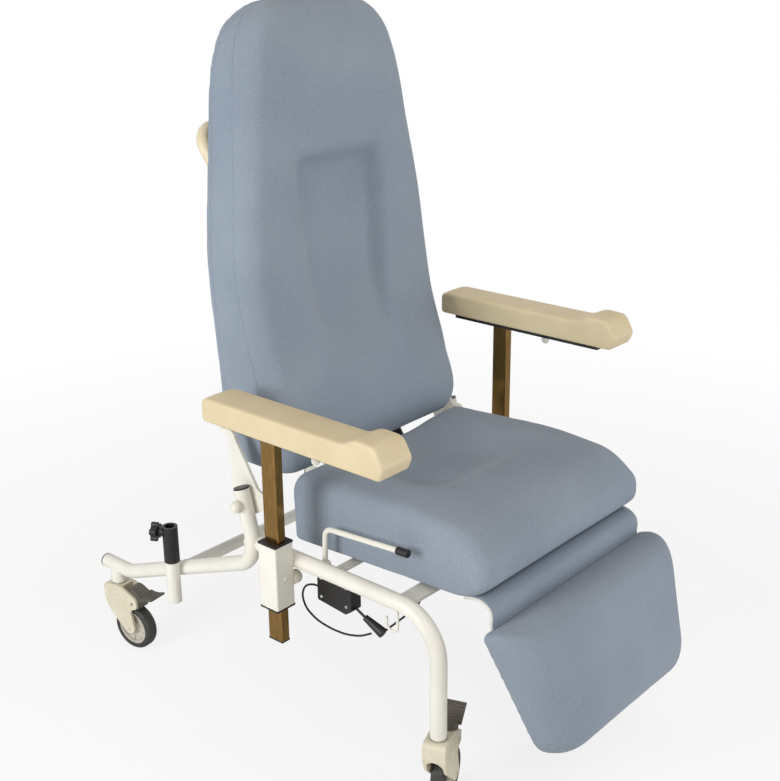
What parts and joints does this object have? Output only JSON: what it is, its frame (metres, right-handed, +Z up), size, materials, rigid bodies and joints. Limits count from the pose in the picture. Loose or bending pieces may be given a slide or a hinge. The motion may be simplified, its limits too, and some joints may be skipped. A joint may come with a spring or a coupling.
{
  "type": "rest armchair",
  "caption": "Reclining rest armchair on braked casters: high padded back, padded seat, linked legrest, height-adjustable armrests, push handle and pole socket.",
  "frame": {"origin": "on the floor, in the middle of the part's footprint", "axes": "+Z up, -Y the way the sitter faces, +X the sitter's left"},
  "size_m": [0.7594, 1.1312, 1.345],
  "materials": {
    "frame_enamel": "off-white powder coat, satin gloss",
    "handle_plastic": "cream moulded grip, satin",
    "upholstery": "blue-grey woven upholstery cloth, matt",
    "plywood": "birch plywood, sealed",
    "armrest_foam": "ivory moulded polyurethane skin, fine grain",
    "black_plastic": "black moulded plastic, fine grain",
    "black_steel": "black powder coat",
    "post_steel": "bronze-tinted bright tube",
    "zinc_steel": "zinc-plated steel",
    "bright_rod": "hard chromed rod",
    "white_plastic": "white moulded plastic",
    "caster_plastic": "cream glass-filled nylon",
    "wheel_plastic": "pale grey wheel centre",
    "tyre_rubber": "dark grey non-marking tread",
    "pedal_plastic": "grey-brown moulded pedal"
  },
  "bodies": {
    "chair_frame": {"front_frame_tubes": "frame_enamel", "rear_frame_tubes": "frame_enamel", "rear_crossbar": "frame_enamel", "tube_plugs": "black_plastic", "seat_frame": "frame_enamel", "seat_board": "plywood", "seat_cushion": "upholstery", "hinge_pins": "zinc_steel", "flap": "upholstery", "armrest_sockets": "frame_enamel", "socket_guides": "black_plastic", "pole_holder_tube": "frame_enamel", "pole_clamp_sleeve": "black_plastic", "release_box": "black_plastic", "cable_junction": "black_plastic", "release_cables": "black_plastic", "bag_hook": "frame_enamel", "caster_stems": "zinc_steel"},
    "backrest": {"backrest_cushion": "upholstery", "backrest_board": "plywood", "backrest_plates": "frame_enamel", "backrest_brackets": "frame_enamel", "push_handle": "handle_plastic"},
    "legrest": {"legrest_cushion": "upholstery", "legrest_board": "plywood", "legrest_arms": "frame_enamel"},
    "link": {"link_rod": "frame_enamel"},
    "gas_rod": {"gas_spring_rod": "bright_rod"},
    "gas_cylinder": {"gas_spring_cylinder": "black_steel"},
    "lever": {"release_lever": "frame_enamel", "lever_tip": "black_plastic"},
    "pole_knob": {"pole_clamp_knob": "black_plastic"},
    "armrest_R": {"armrest_pad_R": "armrest_foam", "armrest_plate_R": "black_steel", "armrest_post_R": "post_steel", "post_plug_R": "black_plastic", "pad_bolt_R": "white_plastic"},
    "knob_R": {"armrest_knob_R": "white_plastic"},
    "armrest_L": {"armrest_pad_L": "armrest_foam", "armrest_plate_L": "black_steel", "armrest_post_L": "post_steel", "post_plug_L": "black_plastic", "pad_bolt_L": "white_plastic"},
    "knob_L": {"armrest_knob_L": "white_plastic"},
    "front_R_caster": {"front_R_fork": "caster_plastic"},
    "front_R_roller": {"front_R_wheel": "wheel_plastic", "front_R_tyre": "tyre_rubber"},
    "front_R_brake": {"front_R_pedal": "pedal_plastic"},
    "front_L_caster": {"front_L_fork": "caster_plastic"},
    "front_L_roller": {"front_L_wheel": "wheel_plastic", "front_L_tyre": "tyre_rubber"},
    "front_L_brake": {"front_L_pedal": "pedal_plastic"},
    "rear_R_caster": {"rear_R_fork": "caster_plastic"},
    "rear_R_roller": {"rear_R_wheel": "wheel_plastic", "rear_R_tyre": "tyre_rubber"},
    "rear_R_brake": {"rear_R_pedal": "pedal_plastic"},
    "rear_L_caster": {"rear_L_fork": "caster_plastic"},
    "rear_L_roller": {"rear_L_wheel": "wheel_plastic", "rear_L_tyre": "tyre_rubber"},
    "rear_L_brake": {"rear_L_pedal": "pedal_plastic"}
  },
  "joints": [
    {"name": "backrest_recline", "type": "hinge", "parent": "chair_frame", "child": "backrest", "pos_m": [0, 0.10857, 0.457], "axis": [-1, 0, 0], "range_deg": [0, 55]},
    {"name": "legrest_lift", "type": "hinge", "parent": "chair_frame", "child": "legrest", "pos_m": [0, -0.39043, 0.372], "axis": [-1, 0, 0], "range_deg": [0, 55], "deforming": ["flap"]},
    {"name": "link_swing", "type": "hinge", "parent": "backrest", "child": "link", "pos_m": [0, 0.16398, 0.35056], "axis": [-1, 0, 0], "range_deg": [-55, 0]},
    {"name": "gas_rod_swing", "type": "hinge", "parent": "chair_frame", "child": "gas_rod", "pos_m": [0.151, 0.05757, 0.335], "axis": [-1, 0, 0], "range_deg": [0, 12]},
    {"name": "gas_cylinder_slide", "type": "slide", "parent": "gas_rod", "child": "gas_cylinder", "axis": [0, -0.5589, -0.8293], "range_m": [0, 0.04]},
    {"name": "release_lever_pull", "type": "hinge", "parent": "chair_frame", "child": "lever", "pos_m": [-0.276, -0.06243, 0.372], "axis": [-1, 0, 0], "range_deg": [0, 12], "stiffness_Nm_per_rad": 1, "springref_deg": -14.32},
    {"name": "pole_knob_turn", "type": "hinge", "parent": "chair_frame", "child": "pole_knob", "pos_m": [-0.3402, 0.30157, 0.346], "axis": [-0.5, 0.866, 0], "range_deg": [0, 360]},
    {"name": "armrest_height_R", "type": "slide", "parent": "chair_frame", "child": "armrest_R", "axis": [0, 0, 1], "range_m": [-0.08, 0.07]},
    {"name": "armrest_knob_turn_R", "type": "hinge", "parent": "chair_frame", "child": "knob_R", "pos_m": [-0.3417, -0.01443, 0.345], "axis": [1, 0, 0], "range_deg": [0, 360]},
    {"name": "armrest_height_L", "type": "slide", "parent": "chair_frame", "child": "armrest_L", "axis": [0, 0, 1], "range_m": [-0.126, 0.024]},
    {"name": "armrest_knob_turn_L", "type": "hinge", "parent": "chair_frame", "child": "knob_L", "pos_m": [0.3417, -0.01443, 0.345], "axis": [-1, 0, 0], "range_deg": [0, 360]},
    {"name": "front_R_swivel", "type": "hinge", "parent": "chair_frame", "child": "front_R_caster", "pos_m": [-0.304, -0.35143, 0], "axis": [0, 0, 1], "continuous": true},
    {"name": "front_R_roll", "type": "hinge", "parent": "front_R_caster", "child": "front_R_roller", "pos_m": [-0.26641, -0.33775, 0.05], "axis": [-0.342, 0.9397, 0], "continuous": true},
    {"name": "front_R_brake_pedal", "type": "hinge", "parent": "front_R_caster", "child": "front_R_brake", "pos_m": [-0.25514, -0.33364, 0.114], "axis": [-0.342, 0.9397, 0], "range_deg": [0, 22]},
    {"name": "front_L_swivel", "type": "hinge", "parent": "chair_frame", "child": "front_L_caster", "pos_m": [0.304, -0.35143, 0], "axis": [0, 0, 1], "continuous": true},
    {"name": "front_L_roll", "type": "hinge", "parent": "front_L_caster", "child": "front_L_roller", "pos_m": [0.26936, -0.33143, 0.05], "axis": [-0.5, -0.866, 0], "continuous": true},
    {"name": "front_L_brake_pedal", "type": "hinge", "parent": "front_L_caster", "child": "front_L_brake", "pos_m": [0.25897, -0.32543, 0.114], "axis": [-0.5, -0.866, 0], "range_deg": [0, 22]},
    {"name": "rear_R_swivel", "type": "hinge", "parent": "chair_frame", "child": "rear_R_caster", "pos_m": [-0.311, 0.52757, 0], "axis": [0, 0, 1], "continuous": true},
    {"name": "rear_R_roll", "type": "hinge", "parent": "rear_R_caster", "child": "rear_R_roller", "pos_m": [-0.30543, 0.48796, 0.05], "axis": [0.9903, 0.1392, 0], "continuous": true},
    {"name": "rear_R_brake_pedal", "type": "hinge", "parent": "rear_R_caster", "child": "rear_R_brake", "pos_m": [-0.30376, 0.47608, 0.114], "axis": [0.9903, 0.1392, 0], "range_deg": [-22, 0]},
    {"name": "rear_L_swivel", "type": "hinge", "parent": "chair_frame", "child": "rear_L_caster", "pos_m": [0.311, 0.52757, 0], "axis": [0, 0, 1], "continuous": true},
    {"name": "rear_L_roll", "type": "hinge", "parent": "rear_L_caster", "child": "rear_L_roller", "pos_m": [0.32135, 0.48894, 0.05], "axis": [0.9659, 0.2588, 0], "continuous": true},
    {"name": "rear_L_brake_pedal", "type": "hinge", "parent": "rear_L_caster", "child": "rear_L_brake", "pos_m": [0.32446, 0.47735, 0.114], "axis": [0.9659, 0.2588, 0], "range_deg": [-22, 0]}
  ],
  "couplings": [
    {"joint": "legrest_lift", "follows": "backrest_recline", "ratio": 1},
    {"joint": "link_swing", "follows": "backrest_recline", "ratio": -1},
    {"joint": "gas_rod_swing", "follows": "backrest_recline", "ratio": 0.1704},
    {"joint": "gas_cylinder_slide", "follows": "backrest_recline", "m_per_rad": 0.035851}
  ]
}
